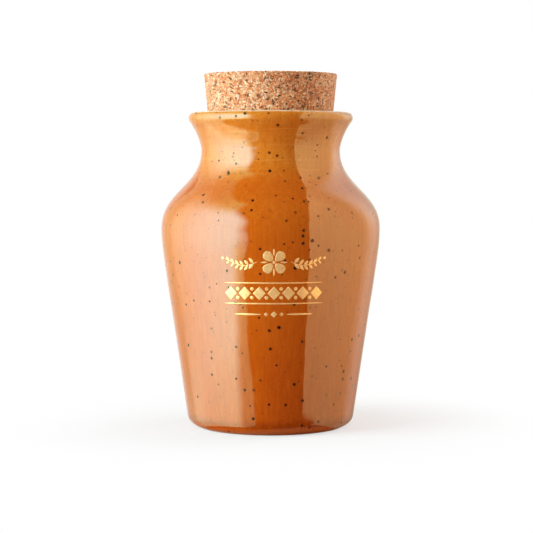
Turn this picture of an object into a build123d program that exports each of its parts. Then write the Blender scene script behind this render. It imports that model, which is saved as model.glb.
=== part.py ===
from build123d import *
import math
import os

# A shut mustard crock: a thrown and glazed stoneware jar, closed with a tapered cork.
# Millimetres, +Z up. The origin is the middle of the foot, on the surface that it stands on.

# Foot of the crock
foot_radius = 29.5  # outer edge of the flat ring that the crock stands on
foot_ring_width = 5.5  # the flat, unglazed ring
foot_recess_depth = 1.2  # the underside inside the ring, clear of the table
foot_recess_slope = 45.0  # degrees from the table, of the step between ring and underside
foot_corner_radius = 5.3  # the round from the foot up into the wall

# Body of the crock
crock_height = 130.6  # to the crest of the rim, beside the cork
wall_fullness = 0.66  # degrees that the lower wall leans out beyond a straight line to the belly
belly_radius = 45.35  # the widest part
belly_below_neck = 32.5  # from the neck's narrowest part down to the widest part
neck_wall = 3.8  # stoneware round the cork's lower end, which makes the neck's narrowest part
neck_below_rim = 16.1  # from the rim's crest down to the narrowest part

# Rim of the crock
lip_width = 7.85  # from the mouth out to the edge of the rolled lip
lip_roll_radius = 2.45  # the round of that edge
lip_flare = 36.7  # degrees from upright, of the neck where it meets the roll
rim_fall = 5.0  # degrees that the top of the rim falls outwards
mouth_edge_radius = 0.9  # the round from the rim into the mouth

# How far each smooth stretch keeps the direction it has at its ends, as a share of its height
wall_hold = 0.82
belly_hold_below = 0.123
belly_hold_above = 0.485
neck_hold_below = 0.451
neck_hold_above = 0.163
lip_hold = 0.478

# Cork
cork_length = 28.0
cork_top_radius = 27.6
cork_bottom_radius = 24.8
cork_proud = 15.4  # how much of the length stands above the rim
cork_edge_radius = 0.5  # both edges are slightly worn round
cork_clearance = 0.1  # between the cork's side and the mouth that it plugs

cork_top = crock_height + cork_proud
cork_bottom = cork_top - cork_length
cork_taper = (cork_top_radius - cork_bottom_radius) / cork_length  # radius lost per mm of depth
neck_radius = cork_bottom_radius + cork_clearance + neck_wall
neck_height = crock_height - neck_below_rim
belly_height = neck_height - belly_below_neck
wall_run = belly_radius - foot_radius - foot_corner_radius
wall_lean = math.degrees(math.atan2(wall_run, belly_height)) + wall_fullness


def at(origin, distance, degrees):
    """The point at a distance from origin, in the direction given in degrees from +X."""
    turn = math.radians(degrees)
    return (origin[0] + distance * math.cos(turn), origin[1] + distance * math.sin(turn))


def smooth_stretch(start, start_angle, start_hold, end, end_angle, end_hold):
    """A cubic curve that leaves start and reaches end in the given directions, in degrees from +X."""
    height = end[1] - start[1]
    return Bezier(
        start,
        at(start, start_hold * height, start_angle),
        at(end, -end_hold * height, end_angle),
        end,
    )


def mouth_radius(height):
    """Radius of the tapered mouth at a height: the cork's own taper and a clearance."""
    return cork_top_radius - cork_taper * (cork_top - height) + cork_clearance


def revolved(outline):
    """The solid of revolution about Z of a closed outline, drawn as (radius, height)."""
    return revolve(Plane.XZ * make_face(outline), Axis.Z, 360)


def foot_outline():
    """Underside, standing ring and corner, from the axis out to the start of the wall."""
    ring_inside = foot_radius - foot_ring_width
    step = foot_recess_depth / math.tan(math.radians(foot_recess_slope))
    underside = Polyline(
        (0, foot_recess_depth),
        (ring_inside - step, foot_recess_depth),
        (ring_inside, 0),
        (foot_radius, 0),
    )
    corner = JernArc((foot_radius, 0), (1, 0), foot_corner_radius, 90 - wall_lean)
    return [underside, corner]


def rim_outline():
    """Rolled lip, falling rim top and mouth edge: two rounds joined by their common tangent."""
    taper_angle = math.atan(cork_taper)
    fall = math.radians(rim_fall)
    edge_height = crock_height - mouth_edge_radius
    edge_centre = (
        mouth_radius(edge_height) + mouth_edge_radius / math.cos(taper_angle),
        edge_height,
    )
    roll_x = mouth_radius(crock_height) + lip_width - lip_roll_radius
    roll_drop = (
        lip_roll_radius - mouth_edge_radius + (roll_x - edge_centre[0]) * math.sin(fall)
    ) / math.cos(fall)
    roll_centre = (roll_x, edge_height - roll_drop)
    roll = CenterArc(roll_centre, lip_roll_radius, -lip_flare, 90 - rim_fall + lip_flare)
    edge_turn = 90 + rim_fall + math.degrees(taper_angle)
    edge = CenterArc(edge_centre, mouth_edge_radius, 90 - rim_fall, edge_turn)
    return [roll, Line(roll @ 1, edge @ 0), edge]


def crock():
    """The stoneware jar. It is shut, so below the cork it is one solid."""
    foot = foot_outline()
    rim = rim_outline()
    neck = (neck_radius, neck_height)
    belly = (belly_radius, belly_height)
    wall_start = tuple(foot[-1] @ 1)[:2]
    lip_start = tuple(rim[0] @ 0)[:2]
    wall = smooth_stretch(wall_start, 90 - wall_lean, wall_hold, belly, 90, belly_hold_below)
    shoulder = smooth_stretch(belly, 90, belly_hold_above, neck, 90, neck_hold_below)
    flare = smooth_stretch(neck, 90, neck_hold_above, lip_start, 90 - lip_flare, lip_hold)
    socket = Polyline(
        tuple(rim[-1] @ 1)[:2],
        (mouth_radius(cork_bottom), cork_bottom),
        (0, cork_bottom),
        (0, foot_recess_depth),
    )
    return revolved([*foot, wall, shoulder, flare, *rim, socket])


def cork():
    """The tapered cork, pushed into the mouth until it stands proud of the rim."""
    side = Polyline(
        (0, cork_bottom),
        (cork_bottom_radius, cork_bottom),
        (cork_top_radius, cork_top),
        (0, cork_top),
        close=True,
    )
    blank = revolved([side])
    ends = blank.edges().filter_by(GeomType.CIRCLE)
    return fillet(ends, cork_edge_radius)


os.makedirs("parts", exist_ok=True)
for name, solid in {"crock": crock(), "cork": cork()}.items():
    export_step(solid, f"parts/{name}.step")
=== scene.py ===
import math

import bpy
import numpy as np
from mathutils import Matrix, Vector


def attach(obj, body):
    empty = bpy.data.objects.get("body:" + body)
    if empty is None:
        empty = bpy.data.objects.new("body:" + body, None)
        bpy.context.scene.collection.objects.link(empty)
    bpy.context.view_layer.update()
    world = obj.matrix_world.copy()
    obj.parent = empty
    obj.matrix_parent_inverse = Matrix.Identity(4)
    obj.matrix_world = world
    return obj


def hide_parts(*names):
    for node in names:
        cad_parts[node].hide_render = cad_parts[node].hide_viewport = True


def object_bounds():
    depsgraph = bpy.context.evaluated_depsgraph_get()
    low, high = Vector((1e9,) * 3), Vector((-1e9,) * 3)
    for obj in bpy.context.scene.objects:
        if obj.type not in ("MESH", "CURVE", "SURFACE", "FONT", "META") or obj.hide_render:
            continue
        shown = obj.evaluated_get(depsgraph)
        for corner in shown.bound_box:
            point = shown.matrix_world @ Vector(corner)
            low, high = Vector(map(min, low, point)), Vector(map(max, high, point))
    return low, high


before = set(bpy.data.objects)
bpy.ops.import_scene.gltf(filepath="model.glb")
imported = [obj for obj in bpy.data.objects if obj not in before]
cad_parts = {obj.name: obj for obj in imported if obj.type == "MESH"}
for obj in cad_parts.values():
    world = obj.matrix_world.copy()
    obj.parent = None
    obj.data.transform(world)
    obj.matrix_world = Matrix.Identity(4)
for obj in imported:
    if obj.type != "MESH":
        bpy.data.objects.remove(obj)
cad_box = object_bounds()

# ---------------------------------------------------------------- The crock
# A thrown stoneware jar: a narrow foot, a wall that leans out to a wide belly, a round shoulder, a short
# neck and a rolled rim. It is dipped in honey glaze, which runs thin on the edges and gathers at the foot.
# The jar is shut, so it is one closed skin from the middle of its foot to the seat of its cork.

mm = 0.001
AROUND = 270  # columns of the jar's mesh
ROW_LENGTH = 0.95 * mm  # the longest stretch of outline between two rows
ROW_TURN = math.radians(4.5)  # the most that the outline turns between two rows
OUTLINE_CORNER = math.radians(20)  # the outline isn't smoothed where it turns by more than this
SHARP_EDGE = math.radians(30)  # edges that turn by more than this are shaded sharp
LONG_CHORD = 6  # a chord that is this many times as long as the next one is a straight stretch
CHORD_STEPS = 24  # points of a smooth line for each chord

dice = np.random.default_rng(21)


def seam_of(node):
    """The outline of a turned node as (radius, height), from the middle of its underside to the middle of
    its top: the corner points in the half plane y = 0, each followed by the nearest one that is left."""
    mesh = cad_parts[node].data
    corners = np.empty(len(mesh.vertices) * 3, np.float32)
    mesh.vertices.foreach_get("co", corners)
    corners = corners.reshape(-1, 3).astype(float)
    on_seam = (np.abs(corners[:, 1]) < 1e-6) & (corners[:, 0] > 1e-5)
    left = [tuple(point) for point in np.unique(corners[on_seam][:, [0, 2]].round(7), axis=0)]
    walk = [(0.0, min(left, key=lambda point: point[0] + point[1])[1])]
    while left:
        here = walk[-1]
        walk.append(min(left, key=lambda point: math.dist(point, here)))
        left.remove(walk[-1])
    walk.append((0.0, walk[-1][1]))
    return np.array(walk)


def smooth_line(points, sharp):
    """A dense line through points: between each two a cubic that leaves and arrives along the slope of the
    parabola through three neighbours, weighted towards the shorter chord. At a corner sharper than sharp
    the slope is each chord's own, and at the end of a long straight chord it is that chord's."""
    chord = np.diff(points, axis=0)
    length = np.hypot(*chord.T)
    heading = chord / length[:, None]
    before, after = length[:-1, None], length[1:, None]
    middle = (heading[:-1] * after + heading[1:] * before) / (before + after)
    middle = np.where(after > LONG_CHORD * before, heading[1:], middle)
    middle = np.where(before > LONG_CHORD * after, heading[:-1], middle)
    angle = np.arctan2(heading[:, 1], heading[:, 0])
    is_corner = (np.abs(np.diff(angle)) > sharp)[:, None]
    leave = np.vstack([heading[:1], np.where(is_corner, heading[1:], middle)])
    arrive = np.vstack([np.where(is_corner, heading[:-1], middle), heading[-1:]])
    share = np.linspace(0, 1, CHORD_STEPS, endpoint=False)[None, :, None]
    pull = length[:, None, None]
    line = (
        (2 * share**3 - 3 * share**2 + 1) * points[:-1, None]
        + (share**3 - 2 * share**2 + share) * pull * leave[:, None]
        + (3 * share**2 - 2 * share**3) * points[1:, None]
        + (share**3 - share**2) * pull * arrive[:, None]
    )
    return np.vstack([line.reshape(-1, 2), points[-1:]])


def even_rows(line, longest, most_turn):
    """Places along a dense line, packed closer where it turns: one row for each longest of length and one
    more for each most_turn of turning."""
    chord = np.diff(line, axis=0)
    length = np.hypot(*chord.T)
    angle = np.unwrap(np.arctan2(chord[:, 1], chord[:, 0]))
    turning = np.abs(np.diff(angle, prepend=angle[0]))
    measure = np.concatenate([[0], np.cumsum(length / longest + turning / most_turn)])
    steps = np.linspace(0, measure[-1], int(measure[-1]) + 1)
    return np.column_stack([np.interp(steps, measure, line[:, 0]), np.interp(steps, measure, line[:, 1])])


def skin(name, grids):
    """A mesh of closed skins. Each grid has rows of places round an axis, from one pole to the other, and
    its first and last rows are those poles."""
    copies, rows, columns = grids.shape[:3]
    points = np.concatenate(
        [grids[:, :1, 0], grids[:, 1:-1].reshape(copies, -1, 3), grids[:, -1:, 0]], axis=1
    )
    ring = np.arange((rows - 2) * columns).reshape(rows - 2, columns) + 1
    beside = np.roll(ring, -1, axis=1)
    quads = np.stack([ring[:-1], beside[:-1], beside[1:], ring[1:]], axis=-1).reshape(-1, 4)
    last = points.shape[1] - 1
    first_fan = np.stack([np.zeros(columns, int), beside[0], ring[0]], axis=-1)
    last_fan = np.stack([ring[-1], beside[-1], np.full(columns, last)], axis=-1)
    shift = (np.arange(copies) * points.shape[1])[:, None, None]
    faces = (quads + shift).reshape(-1, 4).tolist()
    faces += (np.vstack([first_fan, last_fan]) + shift).reshape(-1, 3).tolist()
    mesh = bpy.data.meshes.new(name)
    mesh.from_pydata(points.reshape(-1, 3), [], faces)
    mesh.shade_smooth()
    piece = bpy.data.objects.new(name, mesh)
    bpy.context.scene.collection.objects.link(piece)
    return piece


def per_vertex(piece, name, grid):
    """Stores one number for each vertex of a single skin, from a grid like the one it was made from."""
    values = np.concatenate([grid[:1, 0], grid[1:-1].ravel(), grid[-1:, 0]])
    piece.data.attributes.new(name, "FLOAT", "POINT").data.foreach_set("value", values.astype(np.float32))


def rise(value, low, high):
    """0 below low, 1 above high, and between them 3 share^2 - 2 share^3 of the share of the way."""
    share = np.clip((value - low) / (high - low), 0, 1)
    return share * share * (3 - 2 * share)


TWO_LOBES = 0.05 * mm  # how far the slow ovals stand out
THREE_LOBES = 0.025 * mm
WAVES = 34  # soft waves in the thrown wall
WAVE_SLOPE = math.radians(0.11)  # how steep each of them is
BELLY = cad_box[1].x  # the widest radius
FINGER_WIDTH = 2.7 * mm  # from one turn of the potter's fingers to the next
FINGER_DEPTH = 0.002 * mm
NECK_FINGER_DEPTH = 0.006 * mm

wave_length = np.geomspace(4.5 * mm, 34 * mm, WAVES)
wave_heading = dice.uniform(0, math.pi, WAVES)
wave_phase = dice.uniform(0, 2 * math.pi, WAVES)


def hand_of_potter(angle, height):
    """How far the thrown surface stands out from true, in metres: slow ovals of two and three lobes, soft
    waves of many lengths and headings, each with the same small slope, and the rising spiral of the
    potter's fingers, which shows most on the neck. Each is a sine of angle and height. All of it fades out
    towards the foot, which was trimmed true."""
    out = TWO_LOBES * np.sin(2 * angle + 0.7 + 9 * height)
    out = out + THREE_LOBES * np.sin(3 * angle + 2.1 - 14 * height)
    for length, heading, phase in zip(wave_length, wave_heading, wave_phase):
        lobes = np.round(2 * math.pi * BELLY / length * math.cos(heading))
        climb = 2 * math.pi / length * math.sin(heading)
        out = out + WAVE_SLOPE * length / (2 * math.pi) * np.sin(lobes * angle + climb * height + phase)
    depth = FINGER_DEPTH + (NECK_FINGER_DEPTH - FINGER_DEPTH) * rise(height, 92 * mm, 108 * mm)
    out = out + depth * np.sin(2 * math.pi * height / FINGER_WIDTH + angle)
    return out * rise(height, 1.5 * mm, 40 * mm)


jar_line = smooth_line(seam_of("crock"), OUTLINE_CORNER)
jar_rows = even_rows(jar_line, ROW_LENGTH, ROW_TURN)
jar_radius, jar_height = jar_rows.T
crest_row = int(np.argmax(jar_height))
belly_row = int(np.argmax(jar_radius))
rim_height = jar_height[crest_row]


def outward_of(rows):
    """The direction square to an outline, away from the clay, at each of its rows of (radius, height)."""
    onward = np.gradient(rows, axis=0)
    return np.column_stack([onward[:, 1], -onward[:, 0]]) / np.hypot(*onward.T)[:, None]


def turned_about_axis(rows, angle, columns):
    """Places of an outline carried round the axis: radius times cos, radius times sin, and height."""
    shape = (len(rows), columns)
    radius, height = (np.broadcast_to(part, shape) for part in (rows[..., 0], rows[..., 1]))
    return np.stack([radius * np.cos(angle), radius * np.sin(angle), height], axis=-1)


along = np.arange(len(jar_rows))
inside = along > crest_row
angle = np.linspace(-math.pi, math.pi, AROUND, endpoint=False)[None, :]
thrown = np.where(inside, 0.0, 1.0) * (1 - rise(jar_height, rim_height - 1.2 * mm, rim_height))
relief = hand_of_potter(angle, jar_height[:, None]) * thrown[:, None]
jar_skin = jar_rows[:, None] + relief[..., None] * outward_of(jar_rows)[:, None]
jar_skin[[0, -1], :, 0] = 0
jar = skin("glazed_crock", turned_about_axis(jar_skin, angle, AROUND)[None])
jar.data.set_sharp_from_angle(angle=SHARP_EDGE)

# How thick the glaze lies, which sets its colour: 0 is none and 1 the thickest. The number grows down the
# wall, so the wall is darker towards the foot; the glaze thins up the neck and again at the lip, gathers in a
# roll above the foot and breaks off the crest of the rim.
thick = 0.52 + 0.22 * (1 - rise(jar_height, 8 * mm, 76 * mm)) - 0.15 * rise(jar_height, 98 * mm, 112 * mm)
thick -= 0.035 * rise(jar_height, rim_height - 6.5 * mm, rim_height - 4.5 * mm)
thick += 0.14 * rise(jar_height, 2.6 * mm, 3.8 * mm) * (1 - rise(jar_height, 4.4 * mm, 7.5 * mm))
on_crest = rise(jar_height, rim_height - 2 * mm, rim_height - 1 * mm)
thick = thick * (1 - 0.9 * on_crest * (1 - rise(jar_radius, 32.6 * mm, 33.3 * mm)))
thick[inside] = 0.15

# Where the clay is bare: the ring that the jar stands on, most of the underside, and inside the mouth.
bare = 1 - rise(jar_height, 0.25 * mm, 0.7 * mm)
bare[(along < belly_row) & (jar_radius < 24.0 * mm)] = 0.85
bare[inside] = rise(rim_height - jar_height[inside], 2 * mm, 4 * mm)
per_vertex(jar, "glaze_depth", np.repeat(thick[:, None], AROUND, 1))
per_vertex(jar, "bare_clay", np.repeat(bare[:, None], AROUND, 1))


class Wire:
    """One output of a shader node. Sums, differences and products of wires and numbers add Math nodes,
    and node() adds any other node."""

    tree = None  # the material or world that is being wired

    def __init__(self, socket):
        self.socket = socket

    @classmethod
    def node(cls, kind, settings=None, inputs=None, output=0):
        """Adds a node, gives it its settings and then a value or a wire for each of its sockets."""
        node = cls.tree.nodes.new("ShaderNode" + kind)
        for name, value in (settings or {}).items():
            if name == "stops":
                elements = node.color_ramp.elements
                for place, _ in value[2:]:
                    elements.new(place)
                for element, (place, colour) in zip(elements, value):
                    element.position = place
                    element.color = (*colour, 1)
            else:
                setattr(node, name, value)
        for name, value in (inputs or {}).items():
            if isinstance(value, Wire):
                cls.tree.links.new(value.socket, node.inputs[name])
            else:
                node.inputs[name].default_value = value
        return cls(node.outputs[output]) if node.outputs else None

    def other(self, output):
        """Another output of the same node."""
        return Wire(self.socket.node.outputs[output])

    def between(self, low, high):
        """0 below low, 1 above high, and smooth between."""
        inputs = {"Value": self, "From Min": low, "From Max": high}
        return Wire.node("MapRange", {"interpolation_type": "SMOOTHSTEP"}, inputs)

    def stretched(self, x, y, z):
        """This vector with each of its sides multiplied."""
        return Wire.node("VectorMath", {"operation": "MULTIPLY"}, {0: self, 1: (x, y, z)})

    def __add__(self, number):
        return Wire.node("Math", {"operation": "ADD"}, {0: self, 1: number})

    def __sub__(self, number):
        return Wire.node("Math", {"operation": "SUBTRACT"}, {0: self, 1: number})

    def __rsub__(self, number):
        return Wire.node("Math", {"operation": "SUBTRACT"}, {0: number, 1: self})

    def __mul__(self, number):
        return Wire.node("Math", {"operation": "MULTIPLY"}, {0: self, 1: number})

    def __truediv__(self, number):
        return Wire.node("Math", {"operation": "DIVIDE"}, {0: self, 1: number})

    __radd__ = __add__
    __rmul__ = __mul__


def blend(factor, first, second):
    """The first colour, with the second over it by factor."""
    first, second = (tone if isinstance(tone, Wire) else (*tone, 1) for tone in (first, second))
    return Wire.node("Mix", {"data_type": "RGBA"}, {0: factor, 6: first, 7: second}, 2)


def new_finish(name):
    """An empty material, whose nodes are the ones that are wired next."""
    material = bpy.data.materials.new(name)
    material.use_nodes = True
    Wire.tree = material.node_tree
    Wire.tree.nodes.clear()
    return material


def specks(place, cell, least, most):
    """Round specks in loose swarms: the wall cuts through small balls strewn in space, and a slow noise
    says where few or many of them take part. Gives a mask of the specks and one of the haloes round them."""
    ball = Wire.node("TexVoronoi", {}, {"Vector": place, "Scale": 1 / cell}, "Distance")
    chance = Wire.node("SeparateColor", {}, {"Color": ball.other("Color")})
    distance = ball * cell / (chance * chance * (most - least) + least)
    swarm = Wire.node("TexNoise", {}, {"Vector": place, "Scale": 70, "Detail": 1}).between(0.3, 0.62)
    takes_part = (chance.other("Green") + swarm * 0.6).between(0.55, 0.56)
    return (1 - distance.between(0.7, 1.1)) * takes_part, (1 - distance.between(0.9, 1.9)) * takes_part


def honey_glaze():
    """Clear amber glaze on buff clay: yellow where it is thin and red-brown where it gathers, with iron
    specks, faint runs down the wall, fine turning lines and a wet gloss."""
    material = new_finish("honey_glaze")
    place = Wire.node("TexCoord", output="Object")
    depth = Wire.node("Attribute", {"attribute_name": "glaze_depth"}, output="Fac")
    clay = Wire.node("Attribute", {"attribute_name": "bare_clay"}, output="Fac")

    runs = Wire.node("TexNoise", {}, {"Vector": place.stretched(1, 1, 0.05), "Scale": 420, "Detail": 3})
    clouds = Wire.node("TexNoise", {}, {"Vector": place, "Scale": 55, "Detail": 2})
    grain = Wire.node("TexNoise", {}, {"Vector": place, "Scale": 1500, "Detail": 2})
    lines = Wire.node("TexNoise", {}, {"Vector": place.stretched(0.04, 0.04, 1), "Scale": 1300, "Detail": 2})
    thickness = depth + (runs - 0.5) * 0.16 + (clouds - 0.5) * 0.12 + (grain - 0.5) * 0.22

    stops = [
        (0.00, (0.93, 0.80, 0.60)),
        (0.16, (0.84, 0.56, 0.26)),
        (0.26, (0.72, 0.30, 0.045)),
        (0.38, (0.65, 0.193, 0.016)),
        (0.52, (0.58, 0.122, 0.006)),
        (0.74, (0.49, 0.084, 0.004)),
        (1.00, (0.24, 0.026, 0.003)),
    ]
    colour = Wire.node("ValToRGB", {"stops": stops}, {"Fac": thickness})

    streaks = Wire.node("TexNoise", {}, {"Vector": place.stretched(1, 1, 0.03), "Scale": 1000, "Detail": 2})
    colour = blend(streaks.between(0.50, 0.75) * 0.18, colour, (0.66, 0.20, 0.02))
    colour = blend(streaks.between(0.50, 0.25) * 0.25, colour, (0.33, 0.05, 0.004))

    faint, faint_halo = specks(place, 2.4 * mm, 0.12 * mm, 0.36 * mm)
    dark, dark_halo = specks(place, 3.3 * mm, 0.20 * mm, 0.74 * mm)
    colour = blend(faint_halo * 0.25, colour, (0.30, 0.060, 0.008))
    colour = blend(faint * 0.60, colour, (0.14, 0.035, 0.008))
    colour = blend(dark_halo * 0.5, colour, (0.25, 0.050, 0.008))
    colour = blend(dark * 0.95, colour, (0.030, 0.008, 0.004))
    clay_tone = Wire.node("TexNoise", {}, {"Vector": place, "Scale": 900, "Detail": 4})
    clay_colour = blend(clay_tone, (0.50, 0.36, 0.23), (0.66, 0.52, 0.37))
    colour = blend(clay, colour, clay_colour)

    peel = Wire.node("TexNoise", {}, {"Vector": place, "Scale": 260, "Detail": 1})
    on_neck = Wire.node("SeparateXYZ", {}, {"Vector": place}, "Z").between(98 * mm, 110 * mm)
    colour = blend(lines.between(0.58, 0.72) * on_neck * 0.26, colour, (0.80, 0.34, 0.06))
    height = runs * 0.30 + lines * (on_neck * 1.3 + 0.14) + peel * 0.35 + dark * 0.8 + clay_tone * clay * 12
    bump = Wire.node("Bump", {}, {"Height": height, "Distance": 0.012 * mm, "Strength": 1.0})
    shader = Wire.node(
        "BsdfPrincipled",
        {},
        {
            "Base Color": colour,
            "Metallic": dark * 0.75,
            "Roughness": 0.05 + (grain - 0.5) * 0.05 + dark * 0.2 + clay * 0.75,
            "IOR": 1.52,
            "Normal": bump,
        },
    )
    Wire.node("OutputMaterial", {}, {"Surface": shader})
    return material


jar.data.materials.append(honey_glaze())
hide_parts("crock")
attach(jar, "root")

# ---------------------------------------------------------------- The cork
# A tapered stopper, cut from a block of pressed cork granules. Its side is sawn and sanded, so that the
# granules show as a mosaic, with open pits where one has fallen out and dark flecks of bark.

CORK_AROUND = 600  # columns of the cork's mesh
CORK_CORNER = math.radians(60)  # its outline isn't smoothed where it turns by more than this
CORK_ROW_LENGTH = 0.3 * mm  # the longest stretch of outline between two rows
HIDDEN_ROW_LENGTH = 6 * mm  # the same inside the mouth, where nothing shows
GRANULE = 1.7 * mm
FINE_GRANULE = 0.75 * mm
WANDER = 0.35 * mm  # how far the borders between granules sway
CRACK_DEPTH = 0.10 * mm  # between two granules
FACE_DEPTH = 0.06 * mm  # how much deeper one granule's face can lie than another's
PIT_DEPTH = 0.38 * mm  # where a granule has fallen out
FINE_PIT_DEPTH = 0.16 * mm
FINE_CRACK_DEPTH = 0.04 * mm

cork_line = smooth_line(seam_of("cork"), CORK_CORNER)
cork_rows = even_rows(cork_line, CORK_ROW_LENGTH, math.radians(15))
shown = cork_rows[:, 1] > rim_height - 1.5 * mm
hidden = cork_rows[~shown]
coarse = even_rows(hidden, HIDDEN_ROW_LENGTH, math.radians(25))
cork_rows = np.vstack([hidden[:1], coarse[1:-1], hidden[-1:], cork_rows[shown]])


def granules(places, size):
    """Cuts space into granules: each cube of a lattice holds one seed at random, and a place belongs to
    the nearest seed. Gives how deep the place lies inside its granule, which is how much farther the second
    seed is than the nearest, and two numbers of the granule's own."""
    scaled = places / size
    cube = np.floor(scaled).astype(int)
    low = cube.min(axis=(0, 1)) - 1
    seeds = dice.random((*(cube.max(axis=(0, 1)) - low + 2), 5))
    nearest = np.full(places.shape[:2], 9.0)
    second = nearest.copy()
    own = np.zeros((*places.shape[:2], 2))
    for step in np.ndindex(3, 3, 3):
        corner = cube + np.array(step) - 1
        seed = seeds[tuple(np.moveaxis(corner - low, -1, 0))]
        distance = np.linalg.norm(scaled - corner - seed[..., :3], axis=-1)
        is_nearest = distance < nearest
        second = np.where(is_nearest, nearest, np.minimum(second, distance))
        own = np.where(is_nearest[..., None], seed[..., 3:], own)
        nearest = np.where(is_nearest, distance, nearest)
    return second - nearest, own


cork_angle = np.linspace(-math.pi, math.pi, CORK_AROUND, endpoint=False)[None, :]
true = turned_about_axis(cork_rows[:, None], cork_angle, CORK_AROUND)
outward = turned_about_axis(outward_of(cork_rows)[:, None], cork_angle, CORK_AROUND)
wander = WANDER * np.sin(true[..., [1, 2, 0]] * 2300 + 4 * np.sin(true[..., [2, 0, 1]] * 900))
border, own = granules(true + wander, GRANULE)
fine_border, fine_own = granules(true - wander, FINE_GRANULE)
crack = 1 - rise(border, 0.03, 0.22)
pit = rise(own[..., 0], 0.955, 0.965) * rise(border, 0.05, 0.4)
fine_pit = rise(fine_own[..., 0], 0.95, 0.96) * rise(fine_border, 0.0, 0.25)
sunk = CRACK_DEPTH * crack + FACE_DEPTH * own[..., 1] + PIT_DEPTH * pit + FINE_PIT_DEPTH * fine_pit
sunk += FINE_CRACK_DEPTH * (1 - rise(fine_border, 0, 0.3))
above_rim = rise(cork_rows[:, 1], rim_height - 1.0 * mm, rim_height + 0.5 * mm)[:, None]
shape = true - outward * (sunk * above_rim)[..., None]
shape[0, :, :2] = 0
shape[-1] = shape[-1].mean(axis=0)
stopper = skin("cork_stopper", shape[None])
# Masks of the cracks and pits, where the cork's colour gets painted shade.
per_vertex(stopper, "crack", np.clip(crack * 0.8 + fine_pit, 0, 1) * above_rim)
per_vertex(stopper, "pit", np.clip(pit + 0.9 * fine_pit, 0, 1) * above_rim)
per_vertex(stopper, "tone", own[..., 1])


def chips(place, cell):
    """Flat-sided chips of one size: a random colour for each, and how far a place is from its chip's edge."""
    seeds = {"Vector": place, "Scale": 1 / cell}
    own_colour = Wire.node("TexVoronoi", {}, seeds, "Color")
    return own_colour, Wire.node("TexVoronoi", {"feature": "DISTANCE_TO_EDGE"}, seeds, "Distance")


def pressed_cork():
    """Chips of cork that lie along or across, each of its own tan, with cream cell walls, darker edges and
    flecks of bark, and painted shade in the cracks and pits between the granules: brown in the cracks and
    near black in the pits."""
    material = new_finish("pressed_cork")
    place = Wire.node("TexCoord", output="Object")
    tone = Wire.node("Attribute", {"attribute_name": "tone"}, output="Fac")
    crack = Wire.node("Attribute", {"attribute_name": "crack"}, output="Fac")
    pit = Wire.node("Attribute", {"attribute_name": "pit"}, output="Fac")
    sway = Wire.node("TexNoise", {}, {"Vector": place, "Scale": 600, "Detail": 3}, "Color")
    swayed = Wire.node("VectorMath", {"operation": "MULTIPLY_ADD"}, {0: sway, 1: (0.0014,) * 3, 2: place})
    lying_colour, lying_edge = chips(swayed.stretched(0.6, 0.6, 1.4), 0.85 * mm)
    upright_colour, upright_edge = chips(swayed.stretched(1.4, 1.4, 0.6), 0.85 * mm)
    is_upright = Wire.node("TexNoise", {}, {"Vector": place, "Scale": 420, "Detail": 1}).between(0.47, 0.53)
    chance = Wire.node("SeparateColor", {}, {"Color": blend(is_upright, lying_colour, upright_colour)})
    edge = lying_edge * (1 - is_upright) + upright_edge * is_upright
    cells = Wire.node("TexNoise", {}, {"Vector": place, "Scale": 2400, "Detail": 3})
    shade = tone * 0.22 + chance * 0.72 + (cells - 0.5) * 1.1 + 0.11
    stops = [
        (0.0, (0.30, 0.070, 0.020)),
        (0.25, (0.68, 0.208, 0.065)),
        (0.50, (0.93, 0.365, 0.145)),
        (0.75, (1.0, 0.555, 0.275)),
        (1.0, (1.0, 0.84, 0.58)),
    ]
    colour = Wire.node("ValToRGB", {"stops": stops}, {"Fac": shade})
    colour = blend((1 - edge.between(0.02, 0.16)) * 0.65, colour, (0.30, 0.075, 0.025))
    cream = chance.other("Blue").between(0.86, 0.88) * edge.between(0.04, 0.14)
    colour = blend(cream * 0.75, colour, (1.0, 0.86, 0.66))
    # Painted shade in the cracks between the granules.
    colour = blend(crack * 0.25, colour, (0.28, 0.08, 0.030))
    bark = chance.other("Green").between(0.90, 0.91) * edge.between(0.03, 0.10)
    colour = blend(bark * 0.93, colour, (0.040, 0.012, 0.006))
    # Painted shade: the pits are painted near black.
    colour = blend(pit * 0.85, colour, (0.045, 0.016, 0.008))
    height = cells * 0.35 + edge.between(0.0, 0.25) * 0.8 - bark * 0.5
    bump = Wire.node("Bump", {}, {"Height": height, "Distance": 0.10 * mm, "Strength": 0.8})
    shader = Wire.node(
        "BsdfPrincipled",
        {},
        {
            "Base Color": colour,
            "Roughness": 0.85 + (cells - 0.5) * 0.2,
            "Specular IOR Level": 0.15,
            "Sheen Weight": 0.6,
            "Sheen Tint": (1.0, 0.85, 0.70, 1),
            "Normal": bump,
        },
    )
    Wire.node("OutputMaterial", {}, {"Surface": shader})
    return material


stopper.data.materials.append(pressed_cork())
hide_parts("cork")
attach(stopper, "root")

# ---------------------------------------------------------------- The gold print
# A plain ornament, printed in gold lustre on the front of the glaze and fired: a four-petalled mustard
# flower between two leafy sprigs, a band of lozenges and seeds between thin rules, and a tapered rule.

PROUD = 0.045 * mm  # how far the gold stands out of the glaze
FLOWER_HEIGHT = 70.5 * mm  # above the table
BAND_HEIGHT = 58.2 * mm
RULE_HEIGHT = 49.8 * mm
BAND_HALF = 20.5 * mm  # half the length of the band
PRINT_TURN = math.radians(1.8)  # the print sits a little to the right of the front
OVAL, LEAF, LOZENGE = (1, 1), (1, 2), (2, 2)  # the outlines of a stamp, as powers of cos and of sin

wall = jar_rows[(along <= belly_row) & (jar_height > 6 * mm)]


def on_wall(across, up, lift):
    """Places on the front of the jar: across runs round the wall from the print's middle line, up is the
    height above the table, and lift stands out from the glaze."""
    base = np.interp(up, wall[:, 1], wall[:, 0])
    turn = across / base - math.pi / 2 + PRINT_TURN
    out = base + hand_of_potter(turn, up) + lift
    return np.stack([out * np.cos(turn), out * np.sin(turn), up], axis=-1)


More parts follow.
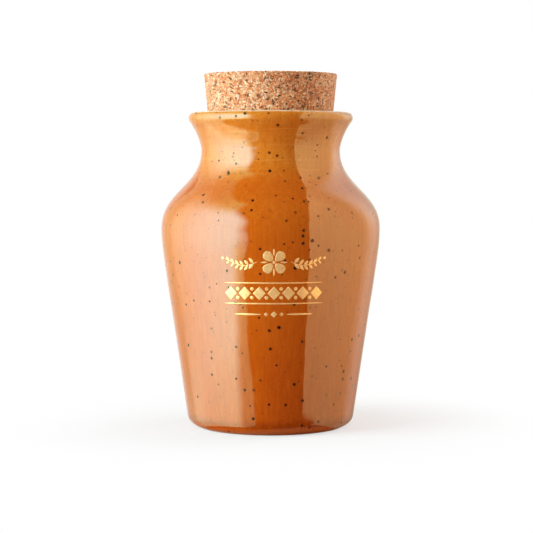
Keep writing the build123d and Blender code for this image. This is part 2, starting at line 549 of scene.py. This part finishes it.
def stamps(middle, size, turned=0, powers=OVAL, broad=0):
    """Small raised shapes, one for each (across, up) in middle. A shape's outline is half its length times
    cos and half its width times sin of an angle, each raised to its own power, and broad makes the far end
    the wider one. It rises like a worn coin: its edge is steep and its top almost flat."""
    around = np.linspace(0, 2 * math.pi, 28, endpoint=False)[None, None, :]
    climb = np.linspace(-math.pi / 2, math.pi / 2, 7)[None, :, None]
    count, pairs, singles = len(middle), (middle, size, powers), (turned, broad)
    middle, size, powers = (np.broadcast_to(pair, (count, 2))[..., None, None] for pair in pairs)
    turned, broad = (np.broadcast_to(single, count)[:, None, None] for single in singles)
    cos, sin = np.cos(around), np.sin(around)
    spread = np.clip(np.cos(climb), 0, 1) ** 0.35
    length = size[:, 0] * np.sign(cos) * np.abs(cos) ** powers[:, 0] * spread
    width = size[:, 1] * np.sign(sin) * np.abs(sin) ** powers[:, 1] * (1 + broad * cos) * spread
    across = middle[:, 0] + length * np.cos(turned) - width * np.sin(turned)
    up = middle[:, 1] + length * np.sin(turned) + width * np.cos(turned)
    return on_wall(across, up, PROUD * np.sin(climb) * np.ones_like(length))


def strokes(paths, half_width):
    """Thin drawn lines, one for each path of (across, up) points, tapered to nothing at both ends. Each is
    a flattened tube: half its width times cos, and the lift times sin, of an angle round it."""
    paths = np.asarray(paths, float)
    share = np.linspace(0, 1, paths.shape[1])[None, :, None]
    heading = np.gradient(paths, axis=1)
    heading /= np.linalg.norm(heading, axis=-1, keepdims=True)
    side = np.stack([-heading[..., 1], heading[..., 0]], axis=-1)
    taper = np.clip(np.sin(math.pi * share), 0, 1) ** 0.45
    around = np.linspace(0, 2 * math.pi, 10, endpoint=False)[None, None, :]
    offset = np.broadcast_to(half_width, len(paths))[:, None, None] * taper * np.cos(around)
    across = paths[..., :1] + side[..., :1] * offset
    up = paths[..., 1:] + side[..., 1:] * offset
    return on_wall(across, up, PROUD * taper * np.sin(around))


def gold_lustre():
    """Fired gold: a thin bright film with a soft, slightly worn sheen."""
    material = new_finish("gold_lustre")
    place = Wire.node("TexCoord", output="Object")
    wear = Wire.node("TexNoise", {}, {"Vector": place, "Scale": 1400, "Detail": 3})
    patch = Wire.node("TexNoise", {}, {"Vector": place, "Scale": 240, "Detail": 2})
    colour = blend(wear.between(0.35, 0.7), (0.95, 0.50, 0.19), (1.0, 0.64, 0.30))
    bump = Wire.node("Bump", {}, {"Height": wear, "Distance": 0.01 * mm, "Strength": 0.6})
    shader = Wire.node(
        "BsdfPrincipled",
        {},
        {
            "Base Color": colour,
            "Metallic": 0.28 + (patch - 0.5) * 0.2,
            "Roughness": 0.38 + (wear - 0.5) * 0.25,
            "Normal": bump,
        },
    )
    Wire.node("OutputMaterial", {}, {"Surface": shader})
    return material


gold = gold_lustre()


def lay_gold(name, grids):
    """Makes one printed piece of the given shapes."""
    piece = skin(name, grids)
    piece.data.materials.append(gold)
    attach(piece, "root")


def heading_out(turned, length):
    """Steps of (across, up), each of its own length, in directions given as angles from across."""
    return np.column_stack([np.cos(turned), np.sin(turned)]) * np.reshape(length, (-1, 1))


# The flower: four petals on the slants, a thin sepal between each two, and a round heart.
flower = np.array([0, FLOWER_HEIGHT])
petal_turn = np.arange(4) * math.pi / 2 + math.pi / 4
sepal_turn = petal_turn - math.pi / 4
petals = stamps(flower + heading_out(petal_turn, 3.1 * mm), (2.3 * mm, 1.75 * mm), petal_turn, broad=0.35)
sepals = stamps(flower + heading_out(sepal_turn, 3.9 * mm), (1.5 * mm, 0.36 * mm), sepal_turn, LEAF)
heart = stamps([flower], (0.62 * mm, 0.62 * mm))
lay_gold("gold_flower", np.concatenate([petals, sepals, heart]))

# Two sprigs: a stem that leaves the flower, dips and lifts its tip, with leaves in pairs and a seed.
to_the_left = np.array([-1.0, 1.0])
stem_share = np.linspace(0, 1, 40)
stem_across = 6.4 * mm + 13.5 * mm * stem_share
stem_up = FLOWER_HEIGHT - 1.6 * mm * np.sin(stem_share * math.pi * 1.25) + 0.3 * mm
stem = np.column_stack([stem_across, stem_up])
leaf_share = np.repeat(np.linspace(0.12, 0.86, 6), 2)
leaf_lean = 0.85 * np.tile([1.0, -1.0], 6)
leaf_length = (1.55 - 0.75 * leaf_share) * mm
leaf_root = np.column_stack([np.interp(leaf_share, stem_share, line) for line in (stem_across, stem_up)])
leaf_middle = leaf_root + heading_out(leaf_lean, leaf_length * 1.05)
leaf_size = np.column_stack([leaf_length, leaf_length * 0.42])
right_leaves = stamps(leaf_middle, leaf_size, leaf_lean, LEAF)
left_leaves = stamps(leaf_middle * to_the_left, leaf_size, math.pi - leaf_lean, LEAF)
tip = stem[-1] + [0.9 * mm, 0.1 * mm]
tip_seeds = stamps([tip, tip * to_the_left], (0.62 * mm, 0.5 * mm))
lay_gold("gold_stems", strokes([stem, (stem * to_the_left)[::-1]], 0.17 * mm))
lay_gold("gold_leaves", np.concatenate([right_leaves, left_leaves, tip_seeds]))

# The band: lozenges with a seed above and below each gap, between two rules.
LOZENGES = 7
lozenge_across = np.linspace(-BAND_HALF + 3.2 * mm, BAND_HALF - 3.2 * mm, LOZENGES)
lozenge_middle = np.column_stack([lozenge_across, np.full(LOZENGES, BAND_HEIGHT)])
gap_across = (lozenge_across[1:] + lozenge_across[:-1]) / 2
seed_up = np.repeat([BAND_HEIGHT + 1.75 * mm, BAND_HEIGHT - 1.75 * mm], LOZENGES - 1)
lozenges = stamps(lozenge_middle, (2.55 * mm, 2.75 * mm), powers=LOZENGE)
seeds = stamps(np.column_stack([np.tile(gap_across, 2), seed_up]), (0.72 * mm, 0.72 * mm))
lay_gold("gold_band", np.concatenate([lozenges, seeds]))


def level_line(middle, half, up):
    """A straight level path of a rule, from left to right."""
    share = np.linspace(-1, 1, 60)
    return np.column_stack([share * half + middle, np.full(60, up)])


# The two rules of the band, and the lowest rule, which is broken in the middle by three drops.
rules = [level_line(0, BAND_HALF, BAND_HEIGHT + 4.1 * mm), level_line(0, BAND_HALF, BAND_HEIGHT - 4.1 * mm)]
rules += [level_line(-10.4 * mm, 5.4 * mm, RULE_HEIGHT), level_line(10.4 * mm, 5.4 * mm, RULE_HEIGHT)]
lay_gold("gold_rules", strokes(rules, [0.3 * mm, 0.3 * mm, 0.4 * mm, 0.4 * mm]))
drop_middle = [(-3.1 * mm, RULE_HEIGHT), (0, RULE_HEIGHT), (3.1 * mm, RULE_HEIGHT)]
drop_size = [(0.85 * mm, 0.85 * mm), (1.3 * mm, 1.3 * mm), (0.85 * mm, 0.85 * mm)]
lay_gold("gold_drops", stamps(drop_middle, drop_size, powers=LOZENGE))

# ---------------------------------------------------------------- The studio
# A pale floor, a white background, soft lamps for an even light and, for the gloss alone, two tall
# softboxes beside the object.

FLOOR = 6.0  # half a side
WHITE_FROM = 0.12  # the floor is plain white to the camera from here on


def floor_finish():
    """A pale matt floor, with painted light and shade in what each kind of ray sees. Far out the camera sees
    plain white, and mirror rays pass through it to the room.
    """
    material = new_finish("pale_floor")
    place = Wire.node("TexCoord", output="Object")
    far = Wire.node("VectorMath", {"operation": "LENGTH"}, {0: place}, "Value")
    across = Wire.node("SeparateXYZ", {}, {"Vector": place}, "X")
    depth = across.other("Y")
    camera_ray = Wire.node("LightPath", output="Is Camera Ray")
    mirror_ray = camera_ray.other("Is Glossy Ray")

    # Painted light and shade in the floor's colour: the light that it throws back on the object is dimmed,
    # and is brighter to the left. Mirror rays see a painted warm tint, near white to the left, as a painted
    # reflection in the foot of the glaze. The camera sees a cool tint that cancels the warm light on the
    # floor.
    leftward = across.between(0.02, -0.05)
    bounce = blend(leftward, (0.61, 0.53, 0.45), (0.84, 0.62, 0.47))
    mirrored = blend(leftward, (0.83, 0.63, 0.37), (1.0, 1.0, 0.85))
    tint = blend(camera_ray, blend(mirror_ray, bounce, mirrored), (0.86, 0.97, 1.0))
    matt = Wire.node("BsdfDiffuse", {}, {"Color": tint})
    # Painted light: to the camera, white glow covers 62% of the floor even at the foot, which pales the
    # object's shadow, and all of it from WHITE_FROM out.
    white = Wire.node("Emission", {}, {"Color": (1, 1, 1, 1), "Strength": 1.0})
    whiter = (far.between(0.036, WHITE_FROM) * 0.38 + 0.62) * camera_ray
    near = Wire.node("MixShader", {}, {0: whiter, 1: matt, 2: white})

    # For mirror rays the floor is only a zone round the foot, widest in front and a little to the right, with
    # a dark ring round it, which is painted shade round the foot in the glaze's reflections.
    # At both sides there is no ring, and the zone itself is a little clear.
    sides = across.between(-0.010, -0.020) + across.between(0.0235, 0.0290)
    reach = far + depth.between(-0.028, -0.002) * 0.007
    reach = reach + (across.between(0.015, -0.015) + across.between(0.0225, 0.0300)) * 0.0045
    past_ring = (reach + sides * 0.02).between(0.0455, 0.0480)
    past_zone = (1 - (1 - reach.between(0.036, 0.041)) * (1 - sides * 0.26)) * mirror_ray
    # The ring's painted shade: black to mirror rays.
    black = Wire.node("BsdfDiffuse", {}, {"Color": (0, 0, 0, 1)})
    clear = Wire.node("BsdfTransparent")
    beyond = Wire.node("MixShader", {}, {0: past_ring, 1: black, 2: clear})
    seen = Wire.node("MixShader", {}, {0: past_zone, 1: near, 2: beyond})
    Wire.node("OutputMaterial", {}, {"Surface": seen})
    return material


corners = [(-FLOOR, -FLOOR, 0), (FLOOR, -FLOOR, 0), (FLOOR, FLOOR, 0), (-FLOOR, FLOOR, 0)]
floor_mesh = bpy.data.meshes.new("floor")
floor_mesh.from_pydata(corners, [], [(0, 1, 2, 3)])
floor = bpy.data.objects.new("floor", floor_mesh)
bpy.context.scene.collection.objects.link(floor)
floor_mesh.materials.append(floor_finish())

CARD_DISTANCE = 0.45  # of the softboxes, from the object's axis


def softbox(name, azimuth, height, level, brightest, colour):
    """A curved card that only mirror rays see. Azimuth, in degrees from the front, and height are arrays
    over it, and level gives how bright it is at an azimuth and a height, as a share of its brightest."""
    turn = np.radians(azimuth)
    places = np.stack([CARD_DISTANCE * np.sin(turn), -CARD_DISTANCE * np.cos(turn), height], axis=-1)
    rows, columns = height.shape
    number = np.arange(rows * columns).reshape(rows, columns)
    quads = np.stack([number[:-1, :-1], number[:-1, 1:], number[1:, 1:], number[1:, :-1]], axis=-1)
    mesh = bpy.data.meshes.new(name)
    mesh.from_pydata(places.reshape(-1, 3), [], quads.reshape(-1, 4).tolist())
    for attribute, values in {"azimuth": np.abs(azimuth), "height": height}.items():
        layer = mesh.attributes.new(attribute, "FLOAT", "POINT")
        layer.data.foreach_set("value", values.ravel().astype(np.float32))
    card = bpy.data.objects.new(name, mesh)
    bpy.context.scene.collection.objects.link(card)
    card.visible_camera = False
    card.visible_diffuse = False
    card.visible_shadow = False
    material = new_finish(name)
    at_azimuth = Wire.node("Attribute", {"attribute_name": "azimuth"}, output="Fac")
    at_height = Wire.node("Attribute", {"attribute_name": "height"}, output="Fac")
    seen = blend(level(at_azimuth, at_height), (0, 0, 0), colour(at_azimuth, at_height))
    glow = Wire.node("Emission", {}, {"Color": seen, "Strength": brightest})
    Wire.node("OutputMaterial", {}, {"Surface": glow})
    mesh.materials.append(material)


def left_level(azimuth, height):
    """A soft panel that leans forward with height, rounded off above, and dimmer to the back and below. Its
    front edge has two steps in its lower part, a weak crisp one and a soft one, and is one step above."""
    leaning = azimuth + height.between(-0.22, 0.10) * 12.5 + height.between(0.05, 0.30) * 3
    leaning = leaning - height.between(0.20, 0.62) * 17
    first_edge = leaning + (1 - height.between(-0.19, -0.09)) * 12 - height.between(0, 0.15) * 4
    two_steps = first_edge.between(31, 34.5) * 0.32 + leaning.between(34, 47) * 0.68
    upper = height.between(0.03, 0.12)
    front = two_steps * (1 - upper) + leaning.between(34.5, 50) * upper
    back = (1 - azimuth.between(42, 138) * 0.84) * (1 - azimuth.between(117, 129) * 0.3)
    low_back = 1 + azimuth.between(85, 120) * (1 - height.between(-0.16, -0.05)) * 0.55
    low = height.between(-0.39, -0.30) * 0.52 + height.between(-0.20, -0.10) * 0.34
    low = low + height.between(-0.08, 0.06) * 0.14
    high = (1 - height.between(0.33, 0.75) * 0.70) * (1 - height.between(0.9, 1.2))
    return front * back * low_back * low * high


def left_colour(azimuth, height):
    """Cool white, warmer below, above, round the back and on the lower part of the front edge."""
    colour = blend(height.between(-0.22, -0.02), (0.85, 1.0, 0.58), (0.48, 1.0, 0.93))
    colour = blend(height.between(0.35, 0.8), colour, (0.35, 1.0, 0.40))
    low_edge = (1 - azimuth.between(30, 42)) * (1 - height.between(-0.07, 0.05))
    colour = blend(low_edge, colour, (0.64, 1.0, 0.50))
    return blend(azimuth.between(75, 135), colour, (0.62, 1.0, 0.68))


def right_level(azimuth, height):
    """An even panel, dimmer round the back and below."""
    back = 1 - azimuth.between(70, 118) * 0.46 - azimuth.between(118, 152) * 0.35
    high_back = 1 + azimuth.between(104, 122) * height.between(0.0, 0.2) * 0.35
    low = 0.55 + 0.45 * height.between(-0.25, 0.05)
    return back * high_back * low


def right_colour(azimuth, height):
    """Warm in front, whiter round the back and cool above it."""
    back = blend(height.between(0.0, 0.2), (1.0, 0.93, 0.68), (0.82, 1.0, 0.86))
    return blend(azimuth.between(104, 138), (1.0, 0.82, 0.38), back)


# The left card runs from the front round to behind, and its top is stretched upwards. The right card's
# front edge curves back towards its top and bottom, and low down it has a rounded notch.
row_heights = [np.linspace(-0.50, -0.20, 11), np.linspace(-0.195, -0.165, 41), np.linspace(-0.15, 1.05, 41)]
share, card_height = np.meshgrid(np.linspace(0, 1, 49), np.concatenate(row_heights))
left_azimuth = -12 - 131 * share
left_height = card_height + 0.2 * rise(card_height, 0.5, 1.05)
softbox("softbox_left", left_azimuth, left_height, left_level, brightest=10.2, colour=left_colour)

front_edge = 38 + 20 * (np.abs(card_height - 0.1) / 0.58) ** 1.8
notch = 18 * np.clip((-card_height - 0.167) / 0.0098, 0, 1) ** 1.9
front_edge += notch * (1 - rise(-card_height, 0.186, 0.194))
right_azimuth = front_edge + (160 - front_edge) * share
right_height = card_height + 0.00055 * (right_azimuth - 42)
softbox("softbox_right", right_azimuth, right_height, right_level, brightest=3.7, colour=right_colour)


def lamp(name, azimuth, elevation, distance, side, power, colour):
    """A square area lamp, aimed at the object's middle, that lights matt surfaces and casts no glint."""
    light = bpy.data.lights.new(name, "AREA")
    light.shape = "SQUARE"
    light.size = side
    light.energy = power
    light.color = colour
    holder = bpy.data.objects.new(name, light)
    turn, lift = math.radians(azimuth), math.radians(elevation)
    toward = Vector((math.sin(turn) * math.cos(lift), -math.cos(turn) * math.cos(lift), math.sin(lift)))
    holder.location = Vector((0, 0, 0.07)) + toward * distance
    holder.rotation_euler = toward.to_track_quat("Z", "Y").to_euler()
    holder.visible_glossy = False
    bpy.context.scene.collection.objects.link(holder)


lamp("lamp_left", azimuth=-65, elevation=18, distance=1.5, side=1.0, power=31.5, colour=(0.77, 0.95, 1.0))
lamp("lamp_right", azimuth=115, elevation=20, distance=1.5, side=1.0, power=13, colour=(1.0, 0.85, 0.75))
lamp("lamp_above", azimuth=0, elevation=82, distance=1.5, side=1.2, power=2, colour=(1.0, 1.0, 1.0))

world = bpy.data.worlds.new("studio")
world.use_nodes = True
bpy.context.scene.world = world
Wire.tree = world.node_tree
Wire.tree.nodes.clear()
direction = Wire.node("TexCoord", output="Generated")
behind = Wire.node("VectorMath", {"operation": "DOT_PRODUCT"}, {0: direction, 1: (0, 1, 0)}, "Value")
camera_ray = Wire.node("LightPath", output="Is Camera Ray")
mirror_ray = (camera_ray.other("Is Glossy Ray") + camera_ray.other("Is Transmission Ray")).between(0, 1)
room = blend(behind.between(0.70, 0.88), (0.03, 0.03, 0.03), (0.94, 0.98, 0.86))  # dark, with a pale backdrop
soft_light = blend(camera_ray, (0.42, 0.335, 0.285), (1, 1, 1))  # white to the camera
light = blend(mirror_ray, soft_light, room)
Wire.node("OutputWorld", {}, {"Surface": Wire.node("Background", {}, {"Color": light})})

camera = bpy.data.objects.new("camera", bpy.data.cameras.new("camera"))
bpy.context.scene.collection.objects.link(camera)
bpy.context.scene.camera = camera
camera.data.lens = 115.3
camera.data.sensor_width = 36
camera.data.clip_start = 0.05
camera.location = (0, -0.7102, 0.1094)
aim = Vector((-0.0017, 0, 0.0662))
camera.rotation_euler = (aim - camera.location).to_track_quat("-Z", "Y").to_euler()
bpy.context.scene.view_settings.view_transform = "Standard"
